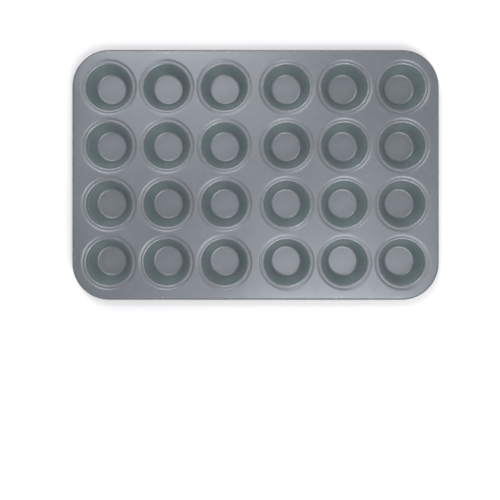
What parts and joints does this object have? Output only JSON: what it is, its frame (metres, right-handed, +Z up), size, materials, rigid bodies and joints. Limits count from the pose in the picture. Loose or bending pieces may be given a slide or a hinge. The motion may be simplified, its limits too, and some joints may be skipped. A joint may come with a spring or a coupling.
{
  "type": "muffin tin",
  "caption": "Rectangular sheet-steel baking tin with a rolled, wire-hemmed rim and a grid of small tapered cups seated in dished holes.",
  "frame": {"origin": "on the plane that the cups' floors rest on, below the middle of the deck", "axes": "+X along the rows of six cups, +Y along the columns of four cups, +Z up out of the cups"},
  "size_m": [0.4, 0.273, 0.022],
  "materials": {
    "deck_coating": "satin grey release coating baked on steel sheet",
    "cup_coating": "satin grey release coating baked on drawn steel",
    "wire_steel": "bare drawn steel wire"
  },
  "bodies": {
    "root": {"deck": "deck_coating", "cup_r1_c1": "cup_coating", "cup_r1_c2": "cup_coating", "cup_r1_c3": "cup_coating", "cup_r1_c4": "cup_coating", "cup_r1_c5": "cup_coating", "cup_r1_c6": "cup_coating", "cup_r2_c1": "cup_coating", "cup_r2_c2": "cup_coating", "cup_r2_c3": "cup_coating", "cup_r2_c4": "cup_coating", "cup_r2_c5": "cup_coating", "cup_r2_c6": "cup_coating", "cup_r3_c1": "cup_coating", "cup_r3_c2": "cup_coating", "cup_r3_c3": "cup_coating", "cup_r3_c4": "cup_coating", "cup_r3_c5": "cup_coating", "cup_r3_c6": "cup_coating", "cup_r4_c1": "cup_coating", "cup_r4_c2": "cup_coating", "cup_r4_c3": "cup_coating", "cup_r4_c4": "cup_coating", "cup_r4_c5": "cup_coating", "cup_r4_c6": "cup_coating", "rim_wire": "wire_steel"}
  },
  "joints": []
}
